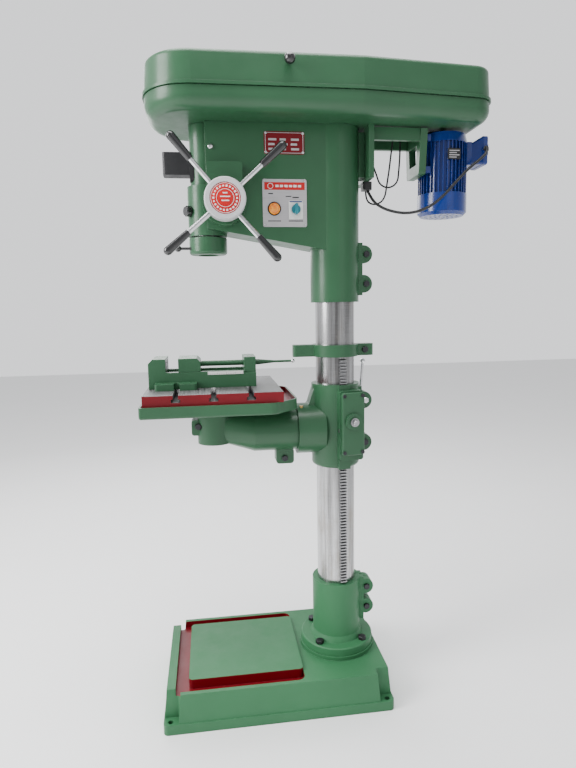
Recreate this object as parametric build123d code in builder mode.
# Floor-standing geared-table drill press: cast base, round column with a captive rack, cranked
# table bracket, tilting arm, round-the-axis table with a screw vice, and a three-pulley belt head.
# The column axis at the floor is the origin, the operator stands at -Y, and +Z is up. Millimetres.
import os
from math import atan2, ceil, cos, degrees, hypot, pi, radians, sin, tan

from build123d import *

os.makedirs("parts", exist_ok=True)

# ---- driving dimensions ----
RUN = 0.05  # radial clearance of a running fit
GAP = 0.3  # clearance between pieces that pass each other
SLIT = 3.0  # width of a clamp's saw cut

COLUMN_R = 57.5
COLUMN_WALL = 7.0
COLUMN_TOP = 1660.0
SPINDLE_Y = -366.0  # throat, from the column axis to the spindle axis

BASE_WIDTH = 410.0
BASE_FRONT = -537.0
BASE_BACK = 130.0
DECK_Z = 112.0
BASE_DRAFT = 5.0
NOTCH = (30.0, 40.0)
LUG_HEIGHT = 30.0
LUG_HOLE_R = 7.5
PAD_TOP = 124.0
PAD_EDGE = 4.0  # how far the base's round seat shows outside the foot
PLATFORM = (290.0, 334.0)
PLATFORM_Y = -298.0
PLATFORM_RISE = 9.0
TROUGH_WIDTH = 37.0
TROUGH_DEPTH = 20.0
RIB = 14.0
POCKET_DEPTH = 78.0

FOOT_FLANGE = 24.0
FOOT_SLEEVE_R = COLUMN_R + 16.5
FOOT_R = FOOT_SLEEVE_R + 38
FOOT_TOP = 332.0
FOOT_PCD = 2 * FOOT_R - 34
PAD_R = FOOT_R + PAD_EDGE
M16_R = 8.0
M12_R = 6.0
M8_R = 4.0

BARREL_R = COLUMN_R + 14.5
BRACKET_BOTTOM = 700.0
BRACKET_TOP = 950.0
EAR_R = 26.0
EAR_Y = BARREL_R + 10
EAR_HALF = 24.0

RING_BOTTOM = 1031.0
RING_TOP = 1066.0
RING_R = COLUMN_R + 11.5

RACK_AZIMUTH = 8.0
RACK_MODULE = 3.0
RACK_PITCH_R = COLUMN_R + 11
RACK_WIDTH = 20.0
RACK_BACK_R = COLUMN_R + 0.7
LIFT_TEETH = 10
LIFT_R = RACK_MODULE * LIFT_TEETH / 2
LIFT_Z = 818.0
WHEEL_MODULE = 2.0
WHEEL_TEETH = 20
WORM_R = 10.0
WORM_OFFSET = 15.0  # along the pinion shaft, from the rack's middle
GEARBOX_FACE_R = RACK_PITCH_R + 27.5

ARM_Z = 814.0
SOCKET_FLANGE_R = 76.0
SPIGOT_R = 40.0
ARM_R = 63.0
ARM_BACK = -122.0
STEM_R = 32.0
ARM_SOCKET_TOP = 874.0

TABLE_TOP = 955.0
TABLE_SLAB = 30.0
TABLE_WIDTH = 350.0
TABLE_DEPTH = 374.0
SLOT_PITCH = 100.0
SLOT_THROAT = 14.0
SLOT_T = 24.0
SLOT_T_HEIGHT = 9.0
PAN_HEIGHT = 32.0
PAN_LIP = 11.0

VICE_HALF = 60.0
VICE_FRONT = -545.0
VICE_BACK = -243.0
VICE_BED = 40.0
VICE_TOP = 84.0
VICE_SCREW_Z = 1019.0
VICE_SCREW_R = 8.0

HEAD_BOTTOM = 1190.0
HEAD_TOP = 1675.0
HEAD_HALF = 61.0
SLEEVE_R = COLUMN_R + 13.5
HOUSING_R = 54.0
HOUSING_BOTTOM = 1378.0
QUILL_R = 35.0
QUILL_TRAVEL = 108.0
QUILL_MODULE = 2.5
PINION_TEETH = 12
PINION_R = QUILL_MODULE * PINION_TEETH / 2
RACK_PITCH_OFFSET = 32.0  # quill axis to the pitch line of its rack
FEED_Z = 1460.0
FEED_Y = SPINDLE_Y + RACK_PITCH_OFFSET + PINION_R
FEED_SHAFT_R = 11.0
FEED_BORE_R = 18.5
PAD_FACE = 95.0
HUB_R = 54.5
SPOKE_R = 6.5
SPOKE_ANGLE = 41.3
SPOKE_REACH = 212.0

TRAY_BOTTOM = HEAD_TOP
SEAM_Z = 1727.0
GUARD_TOP = 1815.0
GUARD_HALF = 171.0
GUARD_FRONT = SPINDLE_Y - 156
GUARD_BACK = 425.0
SHEET = 3.0
HINGE_X = -184.0
HINGE_Z = 1728.5

STEP_HEIGHT = 20.0
STEP_Z = 1694.0
SPINDLE_STEPS = (80.0, 68.0, 56.0, 44.0)
IDLER_STEPS = (40.0, 52.0, 64.0, 76.0)
MOTOR_STEPS = (72.0, 62.0, 52.0, 42.0)
GROOVE = 10.0
BELT_WIDTH = 12.0
BELT_HEIGHT = 9.0
BELT_SLOPE = 2.5  # how far each flank leans in over the belt's height
IDLER_Y = -12.0
FRONT_STEP = 1
REAR_STEP = 2

MOTOR_Y = 327.0
MOTOR_R = 70.0
MOTOR_BOTTOM = 1437.0
MOTOR_SEAM = 1498.0
MOTOR_TOP = 1664.0
MOTOR_SHAFT_R = 9.5
BELT_SLACK = 25.0  # travel of the motor towards the column

CORD_R = 4.0
LEAD_R = 2.5


def export(built, name):
    """Label a finished piece and write it to its own STEP file."""
    built.part.label = name
    export_step(built.part, f"parts/{name}.step")


def bolt(radius, length, head=None):
    """A hexagon-head bolt along +Z: the head stands on Z = 0 and the shank goes down."""
    with BuildPart() as made:
        with BuildSketch(Plane.XY):
            RegularPolygon(head or radius * 1.6, 6)
        extrude(amount=radius * 1.25)
        chamfer(made.faces().sort_by(Axis.Z)[-1].edges(), radius * 0.12)
        with BuildSketch(Plane.XY):
            Circle(radius)
        extrude(amount=-length)
    return made.part


def nutted(radius, grip):
    """A clamp bolt through two ears: the hexagon head on Z = 0 and the nut a grip below."""
    with BuildPart() as made:
        add(bolt(radius, grip + radius * 2))
        with BuildSketch(Plane.XY.offset(-grip)):
            RegularPolygon(radius * 1.6, 6)
        extrude(amount=-radius * 1.2)
    return made.part


def rack_outline(pitch_at, tip, root, back, start, teeth, pitch, angle, slack):
    """Straight-sided rack teeth: (depth, along) points, closed round the back of the bar."""
    half = pitch / 4 - slack / 2
    at_tip = half - tip * tan(radians(angle))
    at_root = half + root * tan(radians(angle))
    points = [(back, start)]
    for tooth in range(teeth):
        middle = start + (tooth + 0.5) * pitch
        points += [(pitch_at - root, middle - at_root), (pitch_at + tip, middle - at_tip)]
        points += [(pitch_at + tip, middle + at_tip), (pitch_at - root, middle + at_root)]
    return points + [(back, start + teeth * pitch)]


def gear_outline(module, teeth, tip, root, angle, slack):
    """Involute spur teeth as (x, y) points, with a tooth on +X."""
    pitch_r = module * teeth / 2
    base_r = pitch_r * cos(radians(angle))
    inner = max(base_r, pitch_r - root)
    half = pi / (2 * teeth) - slack / (2 * pitch_r) + tan(radians(angle)) - radians(angle)
    flank = []
    for step in range(5):
        r = inner + (pitch_r + tip - inner) * step / 4
        roll = (max(r * r / base_r**2 - 1, 0)) ** 0.5
        flank.append((r, half - roll + atan2(roll, 1)))
    points = []
    for tooth in range(teeth):
        middle = 2 * pi * tooth / teeth
        side = [(pitch_r - root, flank[0][1])] if inner > pitch_r - root + 0.01 else []
        rising = side + flank
        points += [(r * cos(middle - a), r * sin(middle - a)) for r, a in rising]
        points += [(r * cos(middle + a), r * sin(middle + a)) for r, a in reversed(rising)]
    return points


def cable(points, radius):
    """A round lead along straight runs, each corner an arc as large as its two runs allow."""
    radii = []
    for before, at, after in zip(points, points[1:], points[2:]):
        a = Vector(*at) - Vector(*before)
        b = Vector(*after) - Vector(*at)
        turn = radians(a.get_angle(b))
        radii.append(0.45 * min(a.length, b.length) / tan(turn / 2))
    print("cable radii", [round(r, 1) for r in radii])
    with BuildPart() as made:
        with BuildLine() as route:
            FilletPolyline(*points, radius=radii)
        start = Plane(origin=route.line @ 0, z_dir=route.line % 0)
        with BuildSketch(start):
            Circle(radius)
        sweep(path=route.line)
    ideal = pi * radius**2 * sum(edge.length for edge in route.edges())
    print("cable volume over section times length", round(made.part.volume / ideal, 4))
    return made


# ---- base: ribbed casting with bolt lugs, raised platform and a coolant trough ----
base_depth = BASE_BACK - BASE_FRONT
base_middle = (BASE_BACK + BASE_FRONT) / 2
corner_x = BASE_WIDTH / 2 - NOTCH[0] / 2
corner_y = base_depth / 2 - NOTCH[1] / 2
platform_front = PLATFORM_Y - PLATFORM[1] / 2
with BuildPart() as base:
    with BuildSketch(Plane.XY):
        with Locations((0, base_middle)):
            Rectangle(BASE_WIDTH, base_depth)
            with GridLocations(2 * corner_x, 2 * corner_y, 2, 2):
                Rectangle(NOTCH[0], NOTCH[1], mode=Mode.SUBTRACT)
    extrude(amount=DECK_Z, taper=BASE_DRAFT)
    with BuildSketch(Plane.XY):
        with Locations((0, base_middle)):
            RectangleRounded(BASE_WIDTH, base_depth, 14)
    extrude(amount=LUG_HEIGHT)
    with BuildSketch(Plane.XY.offset(DECK_Z)):
        Circle(PAD_R)
    extrude(amount=PAD_TOP - DECK_Z)
    with BuildSketch(Plane.XY.offset(DECK_Z)):
        with Locations((0, PLATFORM_Y)):
            RectangleRounded(PLATFORM[0], PLATFORM[1], 12)
        Circle(PAD_R + 12, mode=Mode.SUBTRACT)
    extrude(amount=PLATFORM_RISE)
    with BuildSketch(Plane.XY.offset(DECK_Z)):
        with Locations((0, PLATFORM_Y - TROUGH_WIDTH / 2)):
            RectangleRounded(PLATFORM[0] + 2 * TROUGH_WIDTH, PLATFORM[1] + TROUGH_WIDTH, 20)
        with Locations((0, PLATFORM_Y)):
            RectangleRounded(PLATFORM[0], PLATFORM[1], 12, mode=Mode.SUBTRACT)
    extrude(amount=-TROUGH_DEPTH, mode=Mode.SUBTRACT)
    pocket_x = (BASE_WIDTH - 40 - RIB) / 2
    pocket_y = (base_depth - 40 - 3 * RIB) / 4
    with BuildSketch(Plane.XY):
        with Locations((0, base_middle)):
            with GridLocations(pocket_x + RIB, pocket_y + RIB, 2, 4):
                RectangleRounded(pocket_x, pocket_y, 12)
            with GridLocations(2 * corner_x, 2 * corner_y, 2, 2):
                Rectangle(NOTCH[0] * 2 + 8, NOTCH[1] * 2 + 8, mode=Mode.SUBTRACT)
    extrude(amount=POCKET_DEPTH, mode=Mode.SUBTRACT)
    with BuildSketch(Plane.XY.offset(PAD_TOP)):
        with PolarLocations(FOOT_PCD / 2, 4, 45):
            Circle(M16_R)
    extrude(amount=-30, mode=Mode.SUBTRACT)
    with BuildSketch(Plane.XY):
        with Locations((0, base_middle)):
            with GridLocations(2 * corner_x, 2 * corner_y, 2, 2):
                Circle(LUG_HOLE_R)
    extrude(amount=LUG_HEIGHT, mode=Mode.SUBTRACT)
export(base, "base")

# ---- column foot: flange and split sleeve ----
FOOT_BOLT_Z = (232.0, 298.0)
foot_flange_top = PAD_TOP + FOOT_FLANGE
with BuildPart() as column_foot:
    with BuildSketch(Plane.XY.offset(PAD_TOP)):
        Circle(FOOT_R)
    extrude(amount=FOOT_FLANGE)
    chamfer(column_foot.faces().sort_by(Axis.Z)[-1].edges(), 3)
    with BuildSketch(Plane.XY.offset(foot_flange_top)):
        Circle(FOOT_SLEEVE_R + 8)
    extrude(amount=16, taper=26)
    with BuildSketch(Plane.XY.offset(foot_flange_top)):
        Circle(FOOT_SLEEVE_R)
    extrude(amount=FOOT_TOP - foot_flange_top)
    with BuildSketch(Plane.YZ) as foot_ears:
        with Locations(*[(EAR_Y + 9, z) for z in FOOT_BOLT_Z]):
            Circle(EAR_R - 2)
        with Locations((FOOT_SLEEVE_R, (FOOT_TOP + foot_flange_top) / 2 + 20)):
            Rectangle(20, FOOT_TOP - foot_flange_top - 46)
    extrude(amount=EAR_HALF, both=True)
    with BuildSketch(Plane.XY.offset(PAD_TOP)):
        Circle(COLUMN_R + RUN)
    extrude(amount=FOOT_TOP, mode=Mode.SUBTRACT)
    with BuildSketch(Plane.XY.offset(foot_flange_top + 20)):
        with Locations((0, 100)):
            Rectangle(SLIT, 100)
    extrude(amount=FOOT_TOP, mode=Mode.SUBTRACT)
    with BuildSketch(Plane.YZ):
        with Locations(*[(EAR_Y + 11, z) for z in FOOT_BOLT_Z]):
            Circle(M12_R + GAP)
    extrude(amount=EAR_HALF + 1, both=True, mode=Mode.SUBTRACT)
    with BuildSketch(Plane.XY.offset(PAD_TOP)):
        with PolarLocations(FOOT_PCD / 2, 4, 45):
            Circle(M16_R + GAP)
    extrude(amount=FOOT_FLANGE * 2, mode=Mode.SUBTRACT)
    with BuildSketch(Plane.XY.offset(foot_flange_top)):
        with PolarLocations(FOOT_PCD / 2, 4, 45):
            Circle(M16_R * 1.75)
    extrude(amount=40, mode=Mode.SUBTRACT)
export(column_foot, "column_foot")

with BuildPart() as foot_bolts:
    with PolarLocations(FOOT_PCD / 2, 4, 45):
        with Locations((0, 0, foot_flange_top)):
            add(bolt(M16_R, FOOT_FLANGE + 28))
export(foot_bolts, "foot_bolts")

# ---- column ----
with BuildPart() as column:
    with BuildSketch(Plane.XY.offset(PAD_TOP)):
        Circle(COLUMN_R)
        Circle(COLUMN_R - COLUMN_WALL, mode=Mode.SUBTRACT)
    extrude(amount=COLUMN_TOP - PAD_TOP)
    chamfer(column.faces().sort_by(Axis.Z)[-1].edges(), 1.5)
export(column, "column")

# ---- stop ring above the rack, with its front arm ----
ring_middle = (RING_BOTTOM + RING_TOP) / 2
RING_BOLT_Y = RING_R + 19
with BuildPart() as rack_ring:
    with BuildSketch(Plane.XY.offset(RING_BOTTOM)):
        Circle(RING_R)
        with Locations((0, RING_R + 15)):
            SlotOverall(2 * 18 + 30, 34, rotation=90)
        with Locations((0, -RING_R - 28)):
            Rectangle(34, 62)
    extrude(amount=RING_TOP - RING_BOTTOM)
    fillet(rack_ring.edges().filter_by(Axis.Z).group_by(Axis.Y)[0], 8)
    with BuildSketch(Plane.XY.offset(RING_BOTTOM)):
        Circle(COLUMN_R + RUN)
        with Locations((0, RING_R + 21)):
            Rectangle(SLIT, 80)
    extrude(amount=RING_TOP, mode=Mode.SUBTRACT)
    with BuildSketch(Plane.YZ):
        with Locations((RING_BOLT_Y, ring_middle)):
            Circle(M12_R + GAP)
    extrude(amount=40, both=True, mode=Mode.SUBTRACT)
export(rack_ring, "rack_ring")

# ---- clamp bolts of the foot, the ring and the head, all one size ----
HEAD_EAR_Z = (1242.0, 1327.0)
HEAD_EAR_Y = SLEEVE_R + 19
ear_bolt = nutted(M12_R, 2 * EAR_HALF)
ring_bolt = nutted(M12_R, 34.0)
with BuildPart() as clamp_bolts:
    for z in FOOT_BOLT_Z:
        add(Pos(EAR_HALF, EAR_Y + 11, z) * Rot(0, 90, 0) * ear_bolt)
    for z in HEAD_EAR_Z:
        add(Pos(EAR_HALF, HEAD_EAR_Y, z) * Rot(0, 90, 0) * ear_bolt)
    add(Pos(17, RING_BOLT_Y, ring_middle) * Rot(0, 90, 0) * ring_bolt)
export(clamp_bolts, "clamp_bolts")

# ---- rack: captive between the foot sleeve and the ring, free to swing round the column ----
radial = Vector(cos(radians(RACK_AZIMUTH)), sin(radians(RACK_AZIMUTH)), 0)
tangent = Vector(-sin(radians(RACK_AZIMUTH)), cos(radians(RACK_AZIMUTH)), 0)
RACK_SIDE = Plane(origin=(0, 0, 0), x_dir=radial, z_dir=-tangent)
GEAR_FACE = Plane(origin=(0, 0, 0), x_dir=tangent, z_dir=radial)
rack_pitch = pi * RACK_MODULE
rack_teeth = int((RING_BOTTOM - FOOT_TOP - 4) / rack_pitch)
below = int((LIFT_Z - FOOT_TOP - 2) / rack_pitch)
rack_start = LIFT_Z - below * rack_pitch
with BuildPart() as rack:
    with BuildSketch(RACK_SIDE):
        with BuildLine():
            Polyline(
                rack_outline(RACK_PITCH_R, 2.6, 3.6, RACK_BACK_R, rack_start, rack_teeth,
                             rack_pitch, 20, 0.5),
                close=True,
            )
        make_face()
    extrude(amount=RACK_WIDTH / 2, both=True)
export(rack, "rack")

COVER_THICK = 14.0
PIN_X = 30.0
PIN_R = 6.0
pin_seat = ARM_Z + (SOCKET_FLANGE_R**2 - (PIN_X + PIN_R) ** 2) ** 0.5 - 3

# ---- table bracket: barrel, clamp ears, tilt flange with its spigot, and the lift gearbox ----
BRACKET_EAR_Z = (896.0, 766.0)
lift_axis_r = RACK_PITCH_R + LIFT_R
WORM_Z = LIFT_Z + WHEEL_MODULE * WHEEL_TEETH / 2 + WORM_R
BOX_T = (-20.0, 52.0)
BOX_Z = (730.0, 936.0)
LIFT_SHAFT_R = 7.0
WORM_SHAFT_R = 7.5
box_middle_t = (BOX_T[0] + BOX_T[1]) / 2
with BuildPart() as table_bracket:
    with BuildSketch(Plane.XY.offset(BRACKET_BOTTOM)):
        Circle(BARREL_R)
    extrude(amount=BRACKET_TOP - BRACKET_BOTTOM)
    fillet(table_bracket.faces().sort_by(Axis.Z)[0].edges(), 10)
    with BuildSketch(Plane.YZ):
        with Locations(*[(EAR_Y, z) for z in BRACKET_EAR_Z]):
            Circle(EAR_R)
        with Locations((62, (BRACKET_BOTTOM + BRACKET_TOP) / 2)):
            Rectangle(30, BRACKET_TOP - BRACKET_BOTTOM - 24)
    extrude(amount=EAR_HALF, both=True)
    with BuildSketch(Plane.XZ.offset(40)):
        with Locations((0, ARM_Z)):
            Circle(SOCKET_FLANGE_R)
    extrude(amount=-ARM_BACK - 40)
    with BuildSketch(Plane.XZ.offset(-ARM_BACK)):
        with Locations((0, ARM_Z)):
            Circle(SPIGOT_R)
    extrude(amount=86)
    chamfer(table_bracket.faces().sort_by(Axis.Y)[0].edges(), 3)
    with BuildSketch(Plane.YZ):
        with BuildLine():
            Polyline(
                (-40, ARM_Z),
                (-100, ARM_Z + 60),
                (-84, ARM_Z + 78),
                (-67, BRACKET_TOP - 6),
                (-40, BRACKET_TOP - 6),
                close=True,
            )
        make_face()
    extrude(amount=24, both=True)
    with BuildSketch(GEAR_FACE.offset(40)):
        with Locations((box_middle_t, (BOX_Z[0] + BOX_Z[1]) / 2)):
            RectangleRounded(BOX_T[1] - BOX_T[0], BOX_Z[1] - BOX_Z[0], 8)
    extrude(amount=GEARBOX_FACE_R - 40)
    with BuildSketch(GEAR_FACE.offset(40)):
        with Locations((0, (BRACKET_BOTTOM + BRACKET_TOP) / 2)):
            Rectangle(RACK_WIDTH + 16, BRACKET_TOP - BRACKET_BOTTOM)
    extrude(amount=40)
    with BuildSketch(Plane.XY.offset(BRACKET_BOTTOM)):
        Circle(COLUMN_R + 2 * RUN)
        with Locations((0, 100)):
            Rectangle(SLIT, 100)
    extrude(amount=BRACKET_TOP, mode=Mode.SUBTRACT)
    with BuildSketch(GEAR_FACE.offset(40)):
        with Locations((0, BRACKET_BOTTOM)):
            Rectangle(RACK_WIDTH + 2 * GAP * 2, 2 * BRACKET_TOP)
    extrude(amount=RACK_PITCH_R + 3.4 - 40, mode=Mode.SUBTRACT)
    gear_room = RACK_SIDE.offset(-WORM_OFFSET - 7)
    with BuildSketch(gear_room):
        with Locations((lift_axis_r, LIFT_Z)):
            Circle(WHEEL_MODULE * WHEEL_TEETH / 2 + 5)
        with Locations((lift_axis_r + 10, LIFT_Z)):
            Rectangle(20, WHEEL_MODULE * WHEEL_TEETH + 10)
    extrude(amount=WORM_OFFSET + 17, mode=Mode.SUBTRACT)
    with BuildSketch(RACK_SIDE):
        with Locations((lift_axis_r, LIFT_Z)):
            Circle(LIFT_SHAFT_R + RUN)
    extrude(amount=-BOX_T[1], mode=Mode.SUBTRACT)
    with BuildSketch(RACK_SIDE):
        with Locations((lift_axis_r, LIFT_Z)):
            Circle(LIFT_SHAFT_R + RUN)
    extrude(amount=-BOX_T[0], mode=Mode.SUBTRACT)
    with BuildSketch(GEAR_FACE.offset(COLUMN_R + 14)):
        with Locations((WORM_OFFSET, WORM_Z)):
            Circle(WORM_R + 4)
    extrude(amount=80, mode=Mode.SUBTRACT)
    with BuildSketch(Plane.YZ):
        with Locations(*[(EAR_Y + 6, z) for z in BRACKET_EAR_Z]):
            Circle(M12_R + GAP)
    extrude(amount=EAR_HALF + 1, both=True, mode=Mode.SUBTRACT)
    with BuildSketch(Plane.XY.offset(pin_seat)):
        with Locations((PIN_X, ARM_BACK + 13)):
            Circle(PIN_R)
    extrude(amount=40, mode=Mode.SUBTRACT)
export(table_bracket, "table_bracket")

COVER_POCKET = 10.0
COVER_Z = (748.0, 932.0)
BOSS_R = 24.0
BOSS_RISE = 8.0
cover_screws = [
    (BOX_T[0] + 8, COVER_Z[0] + 9),
    (BOX_T[1] - 8, COVER_Z[0] + 9),
    (BOX_T[0] + 8, COVER_Z[1] - 9),
    (BOX_T[1] - 8, COVER_Z[1] - 9),
]
with BuildPart() as gearbox_cover:
    with BuildSketch(GEAR_FACE.offset(GEARBOX_FACE_R)):
        with Locations((box_middle_t, (COVER_Z[0] + COVER_Z[1]) / 2)):
            RectangleRounded(BOX_T[1] - BOX_T[0] - 4, COVER_Z[1] - COVER_Z[0], 8)
    extrude(amount=COVER_THICK)
    chamfer(gearbox_cover.faces().sort_by(Axis((0, 0, 0), tuple(radial)))[-1].edges(), 2)
    with BuildSketch(GEAR_FACE.offset(GEARBOX_FACE_R)):
        with Locations((WORM_OFFSET, WORM_Z)):
            Circle(BOSS_R)
    extrude(amount=COVER_THICK + BOSS_RISE)
    with BuildSketch(RACK_SIDE.offset(-WORM_OFFSET - 7)):
        with Locations((lift_axis_r, LIFT_Z)):
            Circle(GEARBOX_FACE_R + COVER_POCKET - lift_axis_r + 2)
    extrude(amount=WORM_OFFSET + 17, mode=Mode.SUBTRACT)
    with BuildSketch(GEAR_FACE.offset(GEARBOX_FACE_R)):
        with Locations((WORM_OFFSET, WORM_Z)):
            Circle(WORM_SHAFT_R + RUN)
    extrude(amount=60, mode=Mode.SUBTRACT)
    with BuildSketch(GEAR_FACE.offset(GEARBOX_FACE_R)):
        with Locations(*cover_screws):
            Circle(M8_R * 0.75)
    extrude(amount=60, mode=Mode.SUBTRACT)
export(gearbox_cover, "gearbox_cover")

# ---- lift gears: worm and wheel, and the pinion that climbs the rack ----
WHEEL_FACE = 8.0
WORM_TURNS = 2.5
WORM_END_R = 134.0
wheel_middle = RACK_SIDE.offset(-WORM_OFFSET)
with BuildPart() as lift_pinion:
    with BuildSketch(RACK_SIDE):
        with Locations(Location((lift_axis_r, LIFT_Z, 0), (0, 0, 180))):
            Polygon(*gear_outline(RACK_MODULE, LIFT_TEETH, 2.6, 3.4, 20, 0.5), align=None)
    extrude(amount=RACK_WIDTH / 2 - 1, both=True)
    with BuildSketch(RACK_SIDE.offset(-BOX_T[0] - 1)):
        with Locations((lift_axis_r, LIFT_Z)):
            Circle(LIFT_SHAFT_R)
    extrude(amount=-(BOX_T[1] - BOX_T[0] - 2))
    with BuildSketch(wheel_middle):
        with Locations(Location((lift_axis_r, LIFT_Z, 0), (0, 0, 90))):
            Polygon(*gear_outline(WHEEL_MODULE, WHEEL_TEETH, 1.4, 2.5, 20, 1.4), align=None)
    extrude(amount=WHEEL_FACE / 2, both=True)
export(lift_pinion, "lift_pinion")

worm_pitch = pi * WHEEL_MODULE
thread_half = worm_pitch / 4 - 0.6
worm_core = WORM_R - 2.4
worm_start = lift_axis_r - worm_pitch * 1.25
WORM_FACE = Plane(origin=GEAR_FACE.from_local_coords((WORM_OFFSET, WORM_Z, 0)),
                  x_dir=tangent, z_dir=radial)
with BuildPart() as worm_shaft:
    with BuildSketch(WORM_FACE.offset(COLUMN_R + 15)):
        Circle(worm_core)
    extrude(amount=GEARBOX_FACE_R - 1 - COLUMN_R - 15)
    with BuildSketch(WORM_FACE.offset(COLUMN_R + 20)):
        Circle(WORM_SHAFT_R)
    extrude(amount=WORM_END_R - COLUMN_R - 20)
    chamfer(worm_shaft.faces().sort_by(Axis((0, 0, 0), tuple(radial)))[-1].edges(), 1.5)
    with BuildSketch(WORM_FACE.offset(GEARBOX_FACE_R + COVER_THICK + BOSS_RISE + 0.5)):
        Circle(WORM_SHAFT_R + 5)
        Circle(WORM_SHAFT_R - 1, mode=Mode.SUBTRACT)
    extrude(amount=6)
    thread_path = WORM_FACE.offset(worm_start) * Helix(worm_pitch, worm_pitch * WORM_TURNS, WORM_R)
    at_start = Plane(origin=thread_path @ 0, x_dir=tangent, z_dir=thread_path % 0)
    with BuildSketch(at_start):
        with BuildLine():
            Polyline(
                (-3.2, -thread_half - 0.9),
                (1.6, -thread_half + 0.6),
                (1.6, thread_half - 0.6),
                (-3.2, thread_half + 0.9),
                close=True,
            )
        make_face()
    sweep(path=thread_path, is_frenet=True)
export(worm_shaft, "worm_shaft")

# ---- fasteners of the table side: bracket clamps, cover screws, and the arm's two clamps ----
cover_screw = bolt(M8_R * 0.75, COVER_THICK - 1, M8_R * 1.5)
with BuildPart() as bracket_bolts:
    add(Pos(EAR_HALF, EAR_Y + 6, BRACKET_EAR_Z[1]) * Rot(0, 90, 0) * ear_bolt)
    for t, z in cover_screws:
        face = GEAR_FACE.offset(GEARBOX_FACE_R + COVER_THICK)
        add(Plane(origin=face.from_local_coords((t, z, 0)), x_dir=tangent, z_dir=radial)
            * cover_screw)
    with BuildSketch(Plane.XY.offset(pin_seat)):
        with Locations((PIN_X, ARM_BACK + 13)):
            Circle(PIN_R)
    extrude(amount=9)
export(bracket_bolts, "bracket_bolts")

# ---- column lock: a screw through the upper ears, worked by a ball-ended lever ----
LOCK_X = -EAR_HALF - 10
LOCK_TIP = (-46.0, 98.0, 1008.0)
LOCK_KNOB_R = 9.0
KNOB_SINK = 4.0
lock_y = EAR_Y + 6
hub = Vector(LOCK_X - 7, lock_y, BRACKET_EAR_Z[0])
reach = Vector(LOCK_TIP[0], LOCK_TIP[1], LOCK_TIP[2]) - hub
with BuildPart() as lever_knob:
    with Locations(LOCK_TIP):
        Sphere(LOCK_KNOB_R)
    with BuildSketch(Plane(origin=hub, z_dir=reach)):
        Circle(5)
    extrude(amount=reach.length - KNOB_SINK, mode=Mode.SUBTRACT)
with BuildPart() as lock_lever:
    add(Pos(EAR_HALF, lock_y, BRACKET_EAR_Z[0]) * Rot(0, 90, 0) * bolt(M12_R, 2 * EAR_HALF + 16))
    with BuildSketch(Plane.YZ.offset(LOCK_X)):
        with Locations((lock_y, BRACKET_EAR_Z[0])):
            Circle(13)
    extrude(amount=-14)
    with BuildSketch(Plane(origin=hub + reach.normalized() * 6, z_dir=reach)):
        Circle(5)
    extrude(amount=reach.length - 6 - KNOB_SINK)
    add(lever_knob.part)
export(lock_lever, "lock_lever")

# ---- tilting arm: split bore on the bracket's spigot, split socket for the table's stem ----
ARM_START = ARM_BACK - GAP
ARM_FRONT = -250.0
SOCKET_R = 50.0
SOCKET_BOTTOM = 783.0
TILT_LUG_Y = (-186.0, -132.0)
TILT_BOLT = (-160.0, 728.0)
STEM_BOLT = (SPINDLE_Y - 48, 836.0)
with BuildPart() as tilt_arm:
    with BuildSketch(Plane.XZ.offset(-ARM_START)):
        with Locations((0, ARM_Z)):
            Circle(ARM_R)
    extrude(amount=ARM_START - ARM_FRONT)
    with BuildSketch(Plane.XZ.offset(-ARM_FRONT)):
        with Locations((0, ARM_Z)):
            Circle(ARM_R)
    with BuildSketch(Plane.XZ.offset(-SPINDLE_Y)):
        with Locations((0, (SOCKET_BOTTOM + ARM_SOCKET_TOP) / 2)):
            RectangleRounded(70, ARM_SOCKET_TOP - SOCKET_BOTTOM - 16, 20)
    loft()
    with BuildSketch(Plane.XY.offset(SOCKET_BOTTOM)):
        with Locations((0, SPINDLE_Y)):
            Circle(SOCKET_R)
    extrude(amount=ARM_SOCKET_TOP - SOCKET_BOTTOM)
    with BuildSketch(Plane.YZ):
        with Locations((sum(TILT_LUG_Y) / 2, 735)):
            RectangleRounded(TILT_LUG_Y[1] - TILT_LUG_Y[0], 48, 10)
        with Locations((STEM_BOLT[0] + 1, STEM_BOLT[1] - 4)):
            RectangleRounded(40, 46, 8)
    extrude(amount=22, both=True)
    with BuildSketch(Plane.XZ.offset(-ARM_START)):
        with Locations((0, ARM_Z)):
            Circle(SPIGOT_R + RUN)
    extrude(amount=87, mode=Mode.SUBTRACT)
    with BuildSketch(Plane.XY.offset(SOCKET_BOTTOM - 1)):
        with Locations((0, SPINDLE_Y)):
            Circle(STEM_R + RUN)
        with Locations((0, SPINDLE_Y - 50)):
            Rectangle(SLIT, 60)
    extrude(amount=100, mode=Mode.SUBTRACT)
    with BuildSketch(Plane.XZ.offset(-ARM_START)):
        with Locations((0, ARM_Z - 70)):
            Rectangle(SLIT, 80)
    extrude(amount=82, mode=Mode.SUBTRACT)
    with BuildSketch(Plane.YZ):
        with Locations(TILT_BOLT, STEM_BOLT):
            Circle(M12_R + GAP)
    extrude(amount=30, both=True, mode=Mode.SUBTRACT)
    for side in (-1, 1):
        with BuildSketch(Plane.YZ.offset(side * 22)):
            with Locations(STEM_BOLT):
                Circle(M12_R * 1.9)
        extrude(amount=side * 30, mode=Mode.SUBTRACT)
export(tilt_arm, "tilt_arm")

arm_bolt = nutted(M12_R, 44.0)
with BuildPart() as arm_bolts:
    for y, z in (TILT_BOLT, STEM_BOLT):
        add(Pos(22, y, z) * Rot(0, 90, 0) * arm_bolt)
export(arm_bolts, "arm_bolts")

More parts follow.
